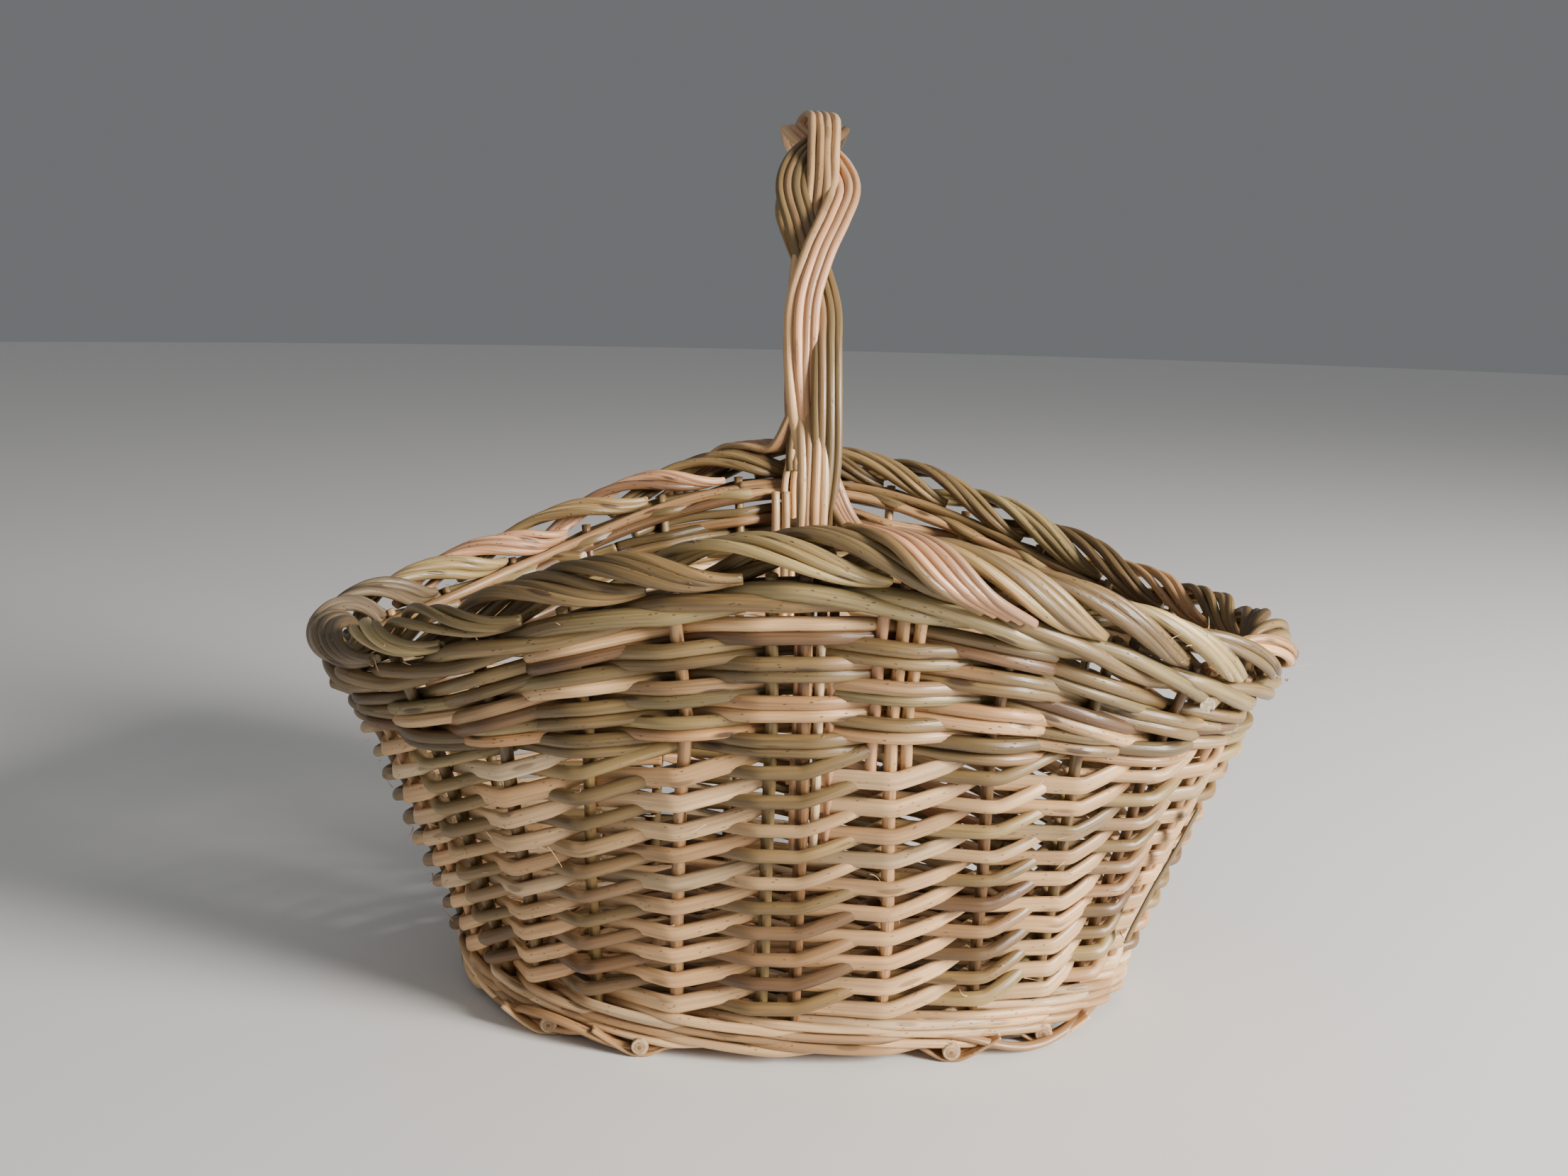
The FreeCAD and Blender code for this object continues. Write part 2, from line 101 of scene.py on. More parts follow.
SIDING_ROUNDS = 10
SIDING_FIRST_Z = 24.5
SIDING_PITCH = 11.4
SIDING_END_SQUEEZE = 0.13
ROUND_ROD_RADIUS = 2.65
ROUND_ROD_LIFT = 0.13  # part of a round by which the round rods pass higher than the split ones
SPLIT_HALF_WIDTH = 3.1
SPLIT_HALF_THICKNESS = 1.45
SPLIT_NARROWING = 0.55  # part of its width that a split rod loses as it turns behind the next stake
STEEP_RISE = 0.57  # part of a round that a rod climbs in the first 0.6 of the way after its stake
LEVEL_RISE = 0.15  # and on the level way from the stake behind it to the one in front
SPLINTERS_IN_ROUND = 9

SLEW_ROWS = 7
SLEW_TOP_CLEARANCE = 18.0
# Packing rows stop this many stakes from the handle, and lose their height over the last ones.
PACKING_REACH = {1: 3.6, 2: 3.6, 3: 5.2, 4: 5.2, 6: 2.6}
PACKING_FADE = 1.5
PACKING_LEFT = 0.1
SLEW_ROD_RADIUS = 2.45
SLEW_ROD_OFFSET = 2.35
ROW_START = 17  # the full rows begin and end at the back
TOP_WALE_DROP = 10.5
TOP_WALE_ROD_RADIUS = 2.9
INSIDE_ROD_DROPS = (7.0, 11.5)

# A border unit: how far it runs, where it starts from its stake, and how it rolls in degrees.
UNIT_SPAN = 2.5
UNIT_START = -0.8
UNIT_SAMPLES = 56
FIRST_ROLL = 232.0
LAST_ROLL = -62.0
# Cut butts that show under the border: place, millimetres outwards and millimetres below the rim.
BORDER_BUTTS = {
    "right_end": ((4.1, 8.0, 16.0), (8.2, 7.0, 14.0)),
    "back": ((17.2, -8.0, 14.0),),
    "left_end": ((22.4, 7.0, 15.0),),
}

HANDLE_TOP_Z = 352.0
HANDLE_INSET = 10.0
# The plait's strands from the front foot to the top: degrees along the arch, millimetres aside
# and millimetres outwards. The back half is the same, turned half a turn about the upright axis.
PLAIT_CROSSING_LEFT = (
    (4, 2.2, -3.2), (12, -0.6, -2.8), (19, -3.6, -0.6), (26, -4.8, 1.0), (33, -4.3, 2.6), (40, 0.3, 3.4),
    (47, 5.6, 2.2), (54, 9.0, 0.2), (62, 6.6, -2.2), (71, 0.0, -3.2), (81, -6.6, -1.4),
)
PLAIT_CROSSING_RIGHT = (
    (4, 1.8, -1.0), (12, 3.6, 0.6), (20, 3.4, 2.6), (27, 3.2, 1.8), (33, 3.0, -0.8), (40, -0.6, -3.0),
    (47, -5.4, -1.2), (54, -8.8, 0.6), (62, -6.0, -0.4), (71, 0.6, -2.2), (81, 6.6, -1.4),
)
PLAIT_MIDDLE = (
    (4, -0.6, 2.6), (12, -0.4, 1.8), (19, -1.0, -1.0), (26, -2.6, -3.4), (33, -4.2, -2.8), (40, -3.4, -2.4),
    (47, 0.0, -2.4), (54, 1.4, 0.6), (62, 1.8, 3.0), (71, 2.6, 3.6), (81, 2.2, 3.6),
)
STRAND_HALVES = (
    (PLAIT_CROSSING_LEFT, PLAIT_CROSSING_RIGHT),
    (PLAIT_CROSSING_RIGHT, PLAIT_CROSSING_LEFT),
    (PLAIT_MIDDLE, PLAIT_MIDDLE),
)
STRAND_RODS = 4
LEG_ROD_X = (-4.6, -1.0, 2.8, 6.8)
LEG_INSET = 0.6
LEG_ASIDE = 0.8
LIGHT_ROD_RADIUS = 1.7
TAIL_RODS = 5
TAIL_SHIFT = 0.115
# A tail's way out of the plait: degrees along the arch, millimetres aside and outwards.
TAIL_IN_PLAIT = ((16.0, 0.0, -2.8), (9.5, 5.0, -2.2), (4.0, 13.0, 0.0))
# And over the border: stakes from the handle, degrees of roll, millimetres from the border's middle.
TAIL_OVER_BORDER = ((0.72, 100.0, 12.5), (1.0, 48.0, 14.6), (1.34, 0.0, 13.8), (1.78, -40.0, 10.0))

# ---------------------------------------------------------------- colours

CREAM = (0.72, 0.445, 0.215)
PALE = (0.82, 0.56, 0.31)
BUFF = (0.47, 0.265, 0.118)
PINK = (0.57, 0.30, 0.155)
OLIVE = (0.215, 0.138, 0.055)
GREEN = (0.32, 0.23, 0.095)
BROWN = (0.165, 0.086, 0.038)
GREY = (0.23, 0.17, 0.11)
PITH = (0.62, 0.46, 0.28)
CUT_FACE = (0.78, 0.62, 0.42)
PALE_UNITS = {16: PINK, 18: PINK, 5: BUFF, 9: BUFF}
STICK_END_RINGS = ((3.2, PITH), (2.3, BUFF), (0.8, BROWN))


def mix(a, b, t):
    return tuple(x + (y - x) * t for x, y in zip(a, b))


def pick(colours, weights=(1,)):
    """One of the colours, a little lighter or darker and warmer or cooler."""
    weights = np.array(weights, float)
    chosen = np.array(colours[rng.choice(len(colours), p=weights / weights.sum())])
    shade = rng.normal(0.93, 0.12)
    warmth = rng.normal(0.0, 0.03)
    return np.clip(chosen * shade * np.array([1 + warmth, 1.0, 1 - warmth]), 0.02, 0.95)


# ---------------------------------------------------------------- the wall as a surface


def stake_angle(place):
    turn = np.radians(-90.0 + 360.0 * np.asarray(place, float) / STAKE_COUNT)
    return turn + END_STAKE_SPREAD * np.sin(2.0 * turn) + STAKE_SHIFT


def rim_height(angle):
    arch = np.abs(np.sin(angle)) ** RIM_ARCH_POWER
    return RIM_Z_AT_ENDS + (RIM_Z_AT_HANDLE - RIM_Z_AT_ENDS) * arch


def rim_at(place):
    return rim_height(stake_angle(place))


def foot_spread(angle, climb):
    from_handle = 2.0 * (angle + math.pi / 2.0)
    spread = FOOT_SPREAD * np.sin(from_handle) + FOOT_SPREAD_NEAR_HANDLE * np.sin(2.0 * from_handle)
    return spread * np.maximum(0.0, 1.0 - climb / FOOT_SPREAD_TOP)


def wall(place, z, out=0.0):
    """Points on the wall's middle surface, moved outwards by out."""
    angle = stake_angle(place)
    climb = np.maximum(z - BASE_Z, 0.0) / (rim_height(angle) - BASE_Z)
    angle = angle + foot_spread(angle, climb)
    flare = climb**FLARE_POWER
    half_length = BASE_HALF_LENGTH + (RIM_HALF_LENGTH - BASE_HALF_LENGTH) * flare + out
    half_width = BASE_HALF_WIDTH + (RIM_HALF_WIDTH - BASE_HALF_WIDTH) * flare + out
    z = np.broadcast_to(z, angle.shape)
    return np.stack([half_length * np.cos(angle), half_width * np.sin(angle), z], -1)


def outward(place):
    angle = stake_angle(place)
    across = np.stack(
        [np.cos(angle) * RIM_HALF_WIDTH, np.sin(angle) * RIM_HALF_LENGTH, np.zeros_like(angle)], -1
    )
    return across / np.linalg.norm(across, axis=-1, keepdims=True)


def siding_height(level, place):
    side = np.abs(np.sin(stake_angle(place))) ** RIM_ARCH_POWER
    return SIDING_FIRST_Z + level * SIDING_PITCH * (1.0 - SIDING_END_SQUEEZE * (1.0 - side))


def packing_weight(row, place):
    if row not in PACKING_REACH:
        return np.ones_like(place)
    half = STAKE_COUNT / 2.0
    away = np.abs((place + half / 2.0) % half - half / 2.0)
    return np.clip((PACKING_REACH[row] - away) / PACKING_FADE, PACKING_LEFT, 1.0)


def slew_height(row, place):
    foot = siding_height(SIDING_ROUNDS - 0.2, place)
    top = rim_at(place) - SLEW_TOP_CLEARANCE
    weights = [packing_weight(i, place) for i in range(SLEW_ROWS)]
    below = sum(weights[:row]) + weights[row] / 2.0
    return foot + (top - foot) * below / sum(weights)


# ---------------------------------------------------------------- rods as meshes


def unit(v):
    return v / np.maximum(np.linalg.norm(v, axis=-1, keepdims=True), 1e-9)


def smooth(points, samples):
    """A smooth curve through the points (Catmull-Rom), with samples in each stretch."""
    p = np.asarray(points, float)
    p = np.vstack([2 * p[0] - p[1], p, 2 * p[-1] - p[-2]])
    t = (np.arange(samples) / samples)[:, None]
    parts = []
    for a, b, c, d in zip(p, p[1:], p[2:], p[3:]):
        square = (2 * a - 5 * b + 4 * c - d) * t**2
        cube = (3 * b - a - 3 * c + d) * t**3
        parts.append(0.5 * (2 * b + (c - a) * t + square + cube))
    return np.vstack(parts + [p[-2:-1]])


def wander(count, reach, step):
    """A slow random wave of that reach, one value for each sample."""
    knots = rng.normal(0.0, 1.0, count // step + 4)
    at = np.arange(count) / step
    first = at.astype(int)
    t = at - first
    t = t * t * (3 - 2 * t)
    return reach * (knots[first] * (1 - t) + knots[first + 1] * t)


def wander_aside(count, reach, step):
    """A slow random wave in all three directions."""
    return np.stack([wander(count, reach, step) for _ in range(3)], -1)


class Rods:
    """Closed swept rods that are gathered into one mesh."""

    def __init__(self):
        self.points = []
        self.faces = []
        self.colours = []
        self.coordinates = []
        self.count = 0

    def add(self, path, face, half_width, half_height, colour, start=None, sides=12, square=1.0):
        """Sweeps an oval section along the path. Face is the direction of its thickness.

        Start is where the grain begins. Square below 1 flattens the section's faces. The ends are
        cut almost flat and show pale pith.
        """
        if start is None:
            start = rng.uniform(0, GRAIN_REACH)
        path = np.asarray(path, float)
        rings = len(path)
        ahead = unit(np.gradient(path, axis=0))
        face = np.broadcast_to(np.asarray(face, float), path.shape)
        side = unit(np.cross(ahead, face))
        face = np.cross(side, ahead)
        half_width = np.broadcast_to(half_width, (rings,)).copy()
        half_height = np.broadcast_to(half_height, (rings,)).copy()
        turn = 2 * math.pi * (np.arange(sides) + 0.5) / sides
        across = np.sign(np.cos(turn)) * np.abs(np.cos(turn)) ** square
        over = np.sign(np.sin(turn)) * np.abs(np.sin(turn)) ** square
        ring = (
            path[:, None]
            + side[:, None] * (across * half_width[:, None])[..., None]
            + face[:, None] * (over * half_height[:, None])[..., None]
        )
        along = start + np.concatenate([[0], np.cumsum(np.linalg.norm(np.diff(path, axis=0), axis=1))])
        flat = np.stack(
            [
                np.broadcast_to(along[:, None], (rings, sides)),
                across * half_width[:, None],
                over * half_height[:, None],
            ],
            -1,
        )
        near_end = path[0] - ahead[0] * half_height[0] * 0.1
        far_end = path[-1] + ahead[-1] * half_height[-1] * 0.1
        ends = np.array([near_end, far_end])
        end_flat = np.array([[along[0], 0, 0], [along[-1], 0, 0]])
        base = self.count
        a = base + (np.arange(rings - 1)[:, None] * sides + np.arange(sides)).ravel()
        b = base + (np.arange(rings - 1)[:, None] * sides + (np.arange(sides) + 1) % sides).ravel()
        quads = np.stack([a, b, b + sides, a + sides], -1)
        near = base + np.arange(sides)
        far = near + (rings - 1) * sides
        first, last = base + rings * sides, base + rings * sides + 1
        caps = [[first, near[(i + 1) % sides], near[i]] for i in range(sides)]
        caps += [[last, far[i], far[(i + 1) % sides]] for i in range(sides)]
        colour = np.broadcast_to(np.asarray(colour, float), (rings, 3))
        self.points.append(np.vstack([ring.reshape(-1, 3), ends]))
        self.coordinates.append(np.vstack([flat.reshape(-1, 3), end_flat]))
        pith = colour[[0, -1]] * 0.6 + np.array(PITH) * 0.4
        self.colours.append(np.vstack([np.repeat(colour, sides, axis=0), pith]))
        self.faces.append((quads, np.array(caps)))
        self.count += rings * sides + 2

    def make(self, name, node, slot, material):
        """Builds the mesh and hands it to the frame in place of the CAD node."""
        points = np.vstack(self.points) * MM
        quads = np.vstack([f[0] for f in self.faces])
        caps = np.vstack([f[1] for f in self.faces])
        mesh = bpy.data.meshes.new(name)
        mesh.vertices.add(len(points))
        mesh.vertices.foreach_set("co", points.astype(np.float32).ravel())
        loops = np.concatenate([quads.ravel(), caps.ravel()]).astype(np.int32)
        starts = np.concatenate([np.arange(len(quads)) * 4, len(quads) * 4 + np.arange(len(caps)) * 3])
        mesh.loops.add(len(loops))
        mesh.loops.foreach_set("vertex_index", loops)
        mesh.polygons.add(len(starts))
        mesh.polygons.foreach_set("loop_start", starts.astype(np.int32))
        mesh.polygons.foreach_set("use_smooth", np.arange(len(starts)) < len(quads))
        colours = np.hstack([np.vstack(self.colours), np.ones((len(points), 1))])
        layer = mesh.color_attributes.new("rod_colour", "FLOAT_COLOR", "POINT")
        layer.data.foreach_set("color", colours.astype(np.float32).ravel())
        layer = mesh.attributes.new("rod_place", "FLOAT_VECTOR", "POINT")
        layer.data.foreach_set("vector", (np.vstack(self.coordinates) * MM).astype(np.float32).ravel())
        mesh.update(calc_edges=True)
        mesh.validate()
        mesh.materials.append(material)
        piece = bpy.data.objects.new(name, mesh)
        bpy.context.scene.collection.objects.link(piece)
        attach(piece, "root")
        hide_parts(node)
        return piece


# ---------------------------------------------------------------- material


def willow(name, roughness, streak, speck, knot, bump):
    """Willow: the rod's own colour with grain streaks, dark specks, knots and fine ridges."""
    material = bpy.data.materials.new(name)
    material.use_nodes = True
    nodes, links = material.node_tree.nodes, material.node_tree.links
    surface = nodes["Principled BSDF"]
    colour = nodes.new("ShaderNodeAttribute")
    colour.attribute_name = "rod_colour"
    place = nodes.new("ShaderNodeAttribute")
    place.attribute_name = "rod_place"

    def stretched(along, across):
        mapping = nodes.new("ShaderNodeVectorMath")
        mapping.operation = "MULTIPLY"
        mapping.inputs[1].default_value = (along, across, across)
        links.new(place.outputs["Vector"], mapping.inputs[0])
        return mapping.outputs[0]

    def noise(along, across, detail=3.0):
        texture = nodes.new("ShaderNodeTexNoise")
        texture.inputs["Scale"].default_value = 1.0
        texture.inputs["Detail"].default_value = detail
        links.new(stretched(along, across), texture.inputs["Vector"])
        return texture.outputs["Fac"]

    def spots(along, across, first, last):
        texture = nodes.new("ShaderNodeTexVoronoi")
        texture.inputs["Scale"].default_value = 1.0
        links.new(stretched(along, across), texture.inputs["Vector"])
        ramp = nodes.new("ShaderNodeMapRange")
        ramp.interpolation_type = "SMOOTHSTEP"
        ramp.inputs["From Min"].default_value = first
        ramp.inputs["From Max"].default_value = last
        ramp.inputs["To Min"].default_value = 1.0
        ramp.inputs["To Max"].default_value = 0.0
        links.new(texture.outputs["Distance"], ramp.inputs["Value"])
        return ramp.outputs[0]

    def mixed(factor, a, b, mode="MIX"):
        node = nodes.new("ShaderNodeMix")
        node.data_type = "RGBA"
        node.blend_type = mode
        for value, key in ((factor, 0), (a, 6), (b, 7)):
            if isinstance(value, (float, tuple)):
                node.inputs[key].default_value = value
            else:
                links.new(value, node.inputs[key])
        return node.outputs[2]

    def maths(operation, a, b):
        node = nodes.new("ShaderNodeMath")
        node.operation = operation
        for value, key in ((a, 0), (b, 1)):
            if isinstance(value, float):
                node.inputs[key].default_value = value
            else:
                links.new(value, node.inputs[key])
        return node.outputs[0]

    grain = noise(28.0, 900.0, 4.0)
    patches = noise(14.0, 120.0, 2.0)
    fine = noise(120.0, 2600.0, 2.0)
    ramp = nodes.new("ShaderNodeMapRange")
    ramp.inputs["From Min"].default_value = 0.3
    ramp.inputs["From Max"].default_value = 0.7
    ramp.inputs["To Min"].default_value = 1.0 - streak
    ramp.inputs["To Max"].default_value = 1.0 + streak * 0.6
    links.new(grain, ramp.inputs["Value"])
    tint = nodes.new("ShaderNodeMapRange")
    tint.inputs["From Min"].default_value = 0.35
    tint.inputs["From Max"].default_value = 0.65
    tint.inputs["To Min"].default_value = 0.74
    tint.inputs["To Max"].default_value = 1.14
    links.new(patches, tint.inputs["Value"])
    shade = nodes.new("ShaderNodeVectorMath")
    shade.operation = "SCALE"
    links.new(colour.outputs["Color"], shade.inputs[0])
    links.new(maths("MULTIPLY", ramp.outputs[0], tint.outputs[0]), shade.inputs["Scale"])
    specks = spots(240.0, 700.0, 0.1, 0.2)
    sparse = maths("GREATER_THAN", noise(36.0, 60.0, 1.0), 0.49)
    specks = maths("MULTIPLY", maths("MULTIPLY", specks, sparse), speck)
    knots = maths("MULTIPLY", spots(38.0, 170.0, 0.12, 0.24), knot)
    toned = mixed(specks, shade.outputs[0], (0.09, 0.045, 0.02, 1.0))
    toned = mixed(knots, toned, (0.06, 0.032, 0.016, 1.0))
    links.new(toned, surface.inputs["Base Color"])
    gloss = nodes.new("ShaderNodeMapRange")
    gloss.inputs["To Min"].default_value = roughness - 0.1
    gloss.inputs["To Max"].default_value = roughness + 0.16
    links.new(grain, gloss.inputs["Value"])
    links.new(gloss.outputs[0], surface.inputs["Roughness"])
    ridges = maths("ADD", maths("MULTIPLY", grain, 0.6), maths("MULTIPLY", fine, 0.3))
    ridges = maths("SUBTRACT", ridges, maths("MULTIPLY", maths("ADD", knots, specks), 0.5))
    relief = nodes.new("ShaderNodeBump")
    relief.inputs["Strength"].default_value = bump
    relief.inputs["Distance"].default_value = 0.0005
    links.new(ridges, relief.inputs["Height"])
    links.new(relief.outputs[0], surface.inputs["Normal"])
    return material


light_willow = willow("light_peeled_willow", 0.36, 0.24, 0.65, 0.5, 0.6)
olive_willow = willow("olive_willow", 0.34, 0.38, 0.85, 0.9, 0.7)
border_willow = willow("border_willow", 0.36, 0.42, 0.8, 0.85, 0.85)
handle_willow = willow("handle_willow", 0.33, 0.22, 0.45, 0.3, 0.6)
stick_wood = willow("stick_wood", 0.55, 0.24, 0.4, 0.3, 0.6)

# ---------------------------------------------------------------- stakes


def stake_groups():
    quarter = STAKE_COUNT // 4
    names = ("front", "right_end", "back", "left_end")
    groups = {name: [] for name in names}
    for stake in range(STAKE_COUNT):
        groups[names[((stake + quarter // 2) // quarter) % 4]].append(stake)
    return groups


def make_stakes():
    for name, stakes in stake_groups().items():
        rods = Rods()
        for stake in stakes:
            pair = stake in (FRONT, BACK)
            for place in (stake - HANDLE_PAIR_GAP, stake + HANDLE_PAIR_GAP) if pair else (stake,):
                top = rim_at(place) - 3.0
                z = np.linspace(9.0, top, STAKE_SAMPLES)
                lean = wander(STAKE_SAMPLES, 0.9, 16)
                out = wander(STAKE_SAMPLES, 0.5, 8)
                climb = wall(place + lean * 0.01, z, out)
                heel = climb[0] - outward(place) * np.linspace(6.0, 0.6, 4)[:, None] - [0, 0, 0.8]
                path = np.vstack([heel, climb])
                radius = VISIBLE_STAKE_RADIUS * rng.uniform(0.9, 1.1) * np.linspace(1.06, 0.9, len(path))
                colour = pick((OLIVE, BROWN, BUFF), (5, 2, 2)) * 1.15
                rods.add(path, outward(place), radius, radius, colour)
        rods.make("stakes_" + name + "_willow", "stakes_" + name, "stake_willow", olive_willow)


# ---------------------------------------------------------------- siding


def straight_run(place):
    """Half length of the straight run that a rod makes in front of a stake or a pair."""
    half = STAKE_COUNT // 2
    away = np.abs((np.asarray(place) + half // 2) % half - half // 2)
    return np.where(away < 0.6, HANDLE_PAIR_GAP + 0.05, 0.03)


def over_and_under(distance, flat, sharp):
    """+1 in front of a stake and -1 behind it. Distance is in stakes from the one in front."""
    d = np.clip((np.abs(distance) - flat) / (1.0 - flat), 0.0, 1.0)
    straight = 1.0 - 2.0 * np.sqrt(d * d + sharp * sharp) / math.sqrt(1 + sharp * sharp)
    return straight * 0.65 + np.cos(math.pi * d) * 0.35


def randing(away, flat, sharp):
    """As over_and_under, but the rising run after the stake stays outside the level run before it."""
    d = np.clip((np.abs(away) - flat) / (1.0 - flat), 0.0, 1.0)
    d = (np.sqrt(d * d + sharp * sharp) - sharp) / (math.sqrt(1 + sharp * sharp) - sharp)
    return 1.0 - 2.0 * d + np.where(away > 0, 0.2, -0.2) * np.sin(math.pi * d)


def siding_colours(weaver):
    """A weaver's colours from its butt to its tip."""
    if weaver % 2:
        first = pick((CREAM, PALE, BUFF, PINK), (5, 3, 3, 1.2))
        last = pick((CREAM, PALE, BUFF, OLIVE), (5, 2, 3, 1.2))
    else:
        first = pick((BROWN, OLIVE, GREEN, BUFF), (4, 6, 1.5, 1.6))
        last = pick((BROWN, OLIVE, GREEN, CREAM), (3, 5, 2, 1.2))
    return first, last


def make_siding():
    rounds = [Rods() for _ in range(SIDING_ROUNDS)]
    stake_lift = rng.uniform(-0.07, 0.07, STAKE_COUNT)
    for weaver in range(STAKE_COUNT):
        split = weaver % 2 == 1
        lift = 0.0 if split else ROUND_ROD_LIFT
        first, last = siding_colours(weaver)
        start = rng.uniform(0, GRAIN_REACH)
        size = rng.uniform(0.9, 1.1)
        count = 2 * SIDING_ROUNDS * STEPS + 1
        tall = wander(count, 0.5, 26)
        thick = wander(count, 0.05, 22)
        shift = wander(count, 0.35, 18)
        shades = wander(count, 0.06, 17)
        blend = np.clip(np.linspace(-0.1, 1.1, count) + wander(count, 0.25, 60), 0, 1)
        for level in range(SIDING_ROUNDS):
            keep = slice(2 * level * STEPS, 2 * (level + 1) * STEPS + 1)
            away = np.linspace(-1.0, 1.0, 2 * STEPS + 1)
            stake = weaver + 2 * level
            place = stake + away
            hold = straight_run(stake)
            weave = randing(away, hold, 0.02 if split else 0.09)
            half = SPLIT_HALF_THICKNESS if split else ROUND_ROD_RADIUS * size
            depth = STAKE_RADIUS + half * 0.9
            climb = np.clip((np.abs(away) - hold * 0.7) / (1 - hold * 0.7), 0, 1)
            steep = np.interp(climb, (0.0, 0.6, 1.0), (0.0, STEEP_RISE, 1.0 - LEVEL_RISE))
            rise = np.where(away > 0, steep, -LEVEL_RISE * climb) + stake_lift[stake % STAKE_COUNT]
            z = siding_height(level + lift + rise, place)
            path = wall(place, z + tall[keep] * 0.7 + shift[keep], weave * depth)
            shade = (1 + shades[keep])[:, None]
            colour = (first * (1 - blend[keep])[:, None] + last * blend[keep][:, None]) * shade
            if split:
                turning = np.clip((away - 0.55) / 0.45, 0, 1)
                width = SPLIT_HALF_WIDTH * size * (1 + thick[keep]) * (1 - SPLIT_NARROWING * turning)
                path[:, 2] += 1.3 * turning
                thickness = half * (1 + thick[keep])
                rounds[level].add(path, outward(place), width, thickness, colour, start, square=0.62)
            else:
                width = half * (1 + thick[keep]) * (1.0 - 0.012 * level)
                rounds[level].add(path, outward(place), width, width * 0.92, colour, start)
            start += float(np.linalg.norm(np.diff(path, axis=0), axis=1).sum())
    for level, rods in enumerate(rounds):
        for _ in range(SPLINTERS_IN_ROUND):
            place = np.array([rng.uniform(0, STAKE_COUNT)])
            height = siding_height(level + rng.uniform(0.1, 0.9), place)
            root = wall(place, height, STAKE_RADIUS + 3.2)[0]
            out = outward(place)[0]
            along = np.cross(UP, out) * rng.choice((-1, 1))
            heading = unit(along + out * rng.uniform(0.1, 0.5) + rng.normal(0, 0.25, 3))
            splinter(rods, root, heading, rng.uniform(3, 7), 0.28, mix(CREAM, PALE, rng.uniform()))
        node = "siding_round_%02d" % (level + 1)
        rods.make(node + "_willow", node, "siding_willow", light_willow)


# ---------------------------------------------------------------- slewing and wales


def drifting(colours, weights, count):
    """Colours along a rod that passes slowly from one tone to the next."""
    knots = np.arange(0, count + 9 * STEPS, 5 * STEPS)
    tones = np.array([pick(colours, weights) for _ in knots])
    where = np.clip(np.arange(count) + wander(count, 1.2 * STEPS, 2 * STEPS), 0, knots[-1])
    part = where / (5.0 * STEPS)
    first = np.minimum(part.astype(int), len(knots) - 2)
    step = np.clip((part - first) * 3.0 - 1.0, 0, 1)
    step = (step * step * (3 - 2 * step))[:, None]
    return (tones[first] * (1 - step) + tones[first + 1] * step) * (1 + wander(count, 0.07, 18))[:, None]


def make_slewing():
    for row in range(SLEW_ROWS):
        rods = Rods()
        reach = PACKING_REACH.get(row)
        for rod in (-1, 1):
            for middle in (FRONT, BACK) if reach else (FRONT,):
                if reach:
                    first, last = middle - reach + 0.2, middle + reach - 0.2
                else:
                    first = ROW_START - 0.37 * rod
                    last = first + STAKE_COUNT
                count = int((last - first) * STEPS)
                place = np.linspace(first, last, count)
                nearest = np.round((place - row % 2) / 2.0) * 2.0 + row % 2
                away = place - nearest
                hold = straight_run(nearest)
                size = rng.uniform(0.9, 1.1)
                radius = SLEW_ROD_RADIUS * size * (1 + wander(count, 0.04, 20))
                weave = over_and_under(away, hold, 0.14)
                narrow = 1 - 0.2 * np.clip(-weave, 0, 1)
                z = slew_height(row, place) + rod * SLEW_ROD_OFFSET * narrow + wander(count, 0.35, 25)
                path = wall(place, z, weave * (STAKE_RADIUS + radius * 0.9))
                colour = drifting((OLIVE, CREAM, BUFF, GREEN, BROWN), (8, 1.5, 4, 1, 3), count)
                rods.add(path, outward(place), radius, radius * 0.95, colour)
        node = "slew_row_%d" % (row + 1)
        rods.make(node + "_willow", node, "slew_willow", olive_willow)


def inside_rods(rods):
    """Long rods that lie along the inside of the wall just under the border."""
    for drop in INSIDE_ROD_DROPS:
        for middle in (FRONT + 7.5, BACK + 7.5):
            count = int((BACK + 1.0) * STEPS)
            place = np.linspace(middle - 7.5, middle + 7.5, count)
            radius = rng.uniform(2.2, 2.6) * (1 + wander(count, 0.05, 20))
            z = rim_at(place) - drop + wander(count, 0.7, 30)
            path = wall(place, z, -VISIBLE_STAKE_RADIUS - 2.0 + wander(count, 0.4, 30))
            colour = drifting((OLIVE, BUFF, BROWN), (6, 2, 2), count)
            rods.add(path, outward(place), radius, radius, colour)


def wale(node, slot, material, height, radius, colours, weights):
    """A three-rod wale: each rod lies in front of two stakes and behind the third."""
    rods = Rods()
    total = STAKE_COUNT + 0.2
    count = int(total * STEPS)
    kernel = np.hanning(9) / np.hanning(9).sum()
    for first in range(3):
        place = ROW_START + first + np.linspace(0, total, count)
        phase = (place - ROW_START - first) % 3.0
        size = rng.uniform(0.9, 1.1)
        out = np.interp(phase, (0, 0.55, 1, 1.5, 2, 2.45, 3), (-1, 0.1, 1, 1.06, 1, 0.1, -1))
        rise = np.interp(phase, (0, 0.5, 1, 2, 2.5, 3), (0, 0.75, 0.9, -0.9, -0.75, 0))
        out = np.convolve(np.pad(out, 4, "edge"), kernel, "valid")
        rise = np.convolve(np.pad(rise, 4, "edge"), kernel, "valid")
        half = radius * size * (1 + wander(count, 0.05, 20))
        z = height(place) + rise * radius + wander(count, radius * 0.16, 17)
        path = wall(place, z, out * (STAKE_RADIUS + radius * 0.95))
        colour = drifting(colours, weights, count)
        rods.add(path, outward(place), half, half, colour)
    if node == "top_wale_row":
        inside_rods(rods)
    rods.make(node + "_willow", node, slot, material)


